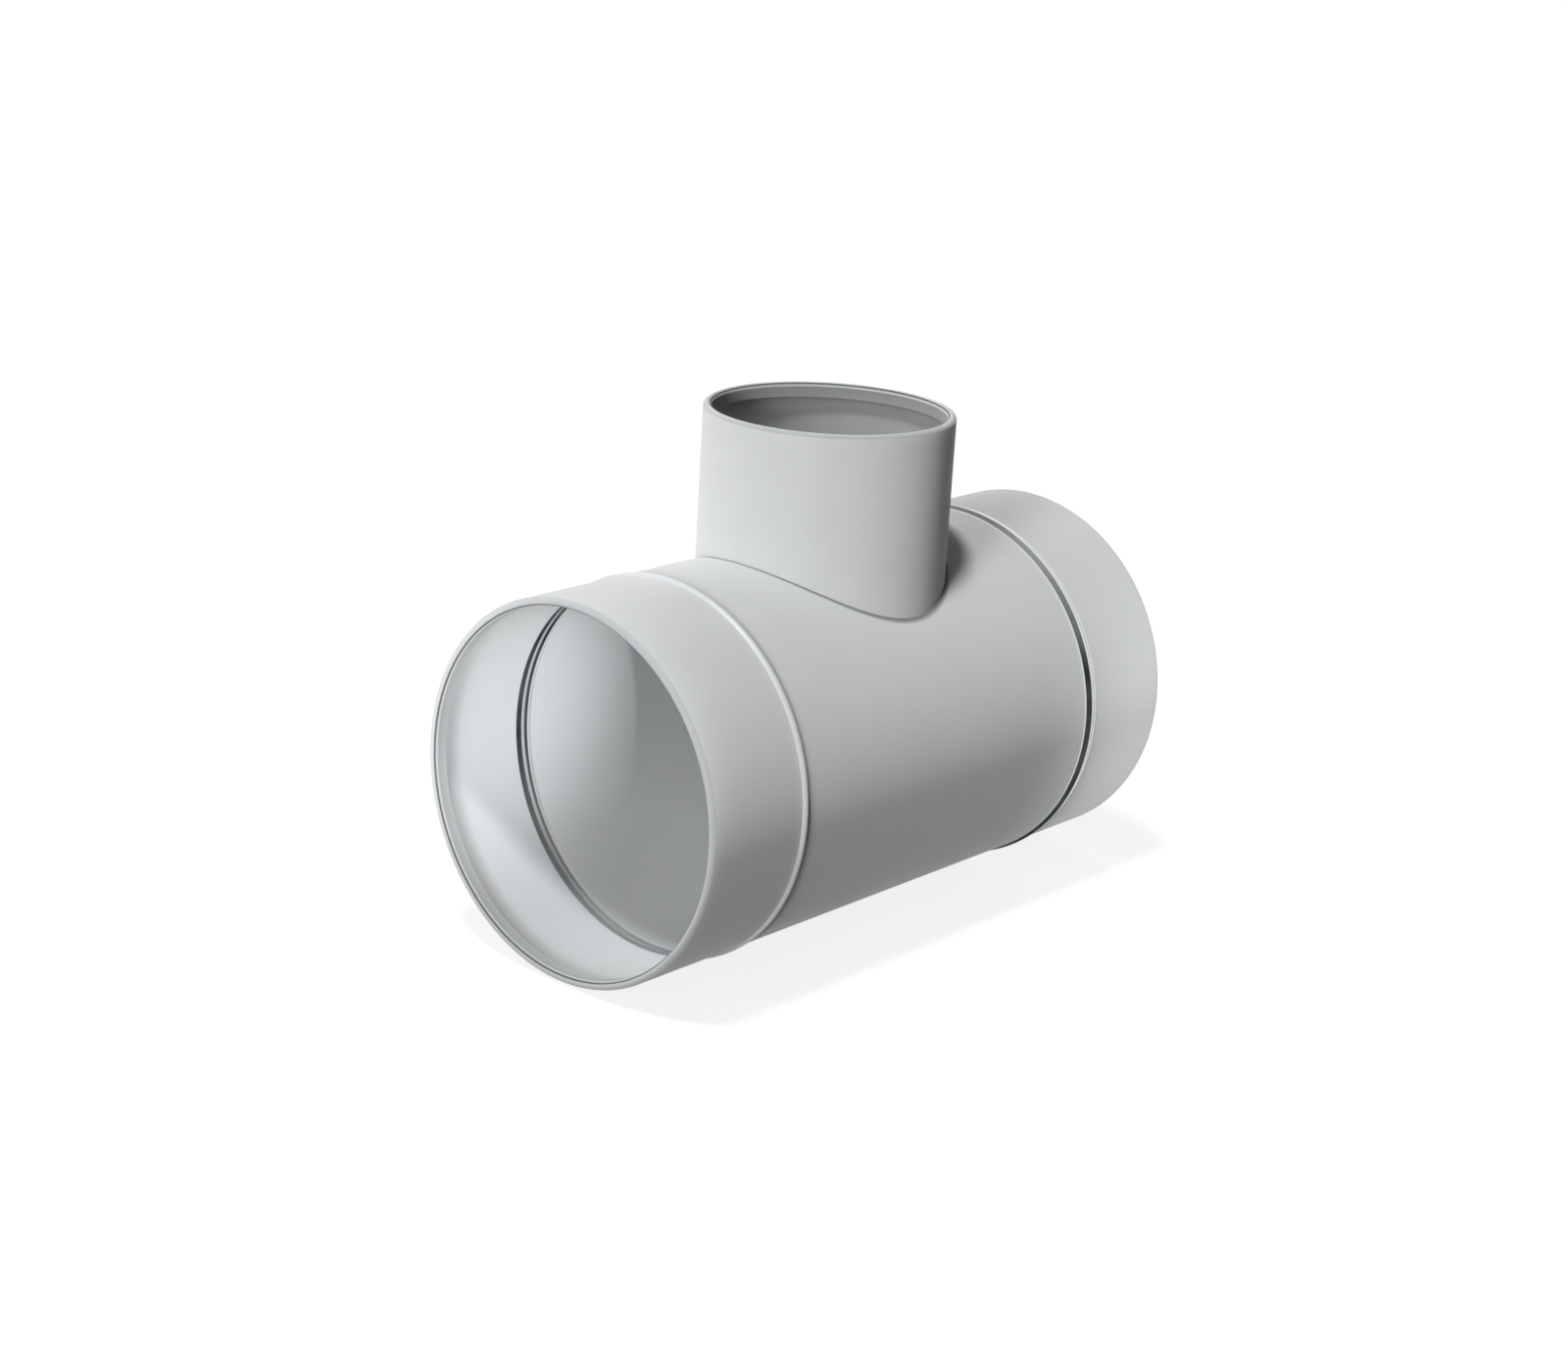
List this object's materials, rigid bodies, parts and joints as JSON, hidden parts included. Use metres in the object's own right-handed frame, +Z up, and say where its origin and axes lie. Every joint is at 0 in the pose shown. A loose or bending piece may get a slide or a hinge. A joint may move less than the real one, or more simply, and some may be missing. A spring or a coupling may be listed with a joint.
{
  "type": "spiral duct tee",
  "caption": "Straight reducing tee for round sheet-metal duct: a run with hemmed rims and rolled stop beads, and a smaller collar that branches off it at a right angle.",
  "frame": {"origin": "the point on the floor plane below the crossing of the run's and the branch's centre lines, level with the lowest point of the stop beads", "axes": "+X along the run, +Z up the branch's centre line, +Y across the run"},
  "size_m": [0.28, 0.152, 0.206],
  "materials": {
    "run_sheet": "satin galvanised sheet",
    "branch_sheet": "satin galvanised sheet"
  },
  "bodies": {
    "root": {"run_body": "run_sheet", "branch_collar": "branch_sheet"}
  },
  "joints": []
}
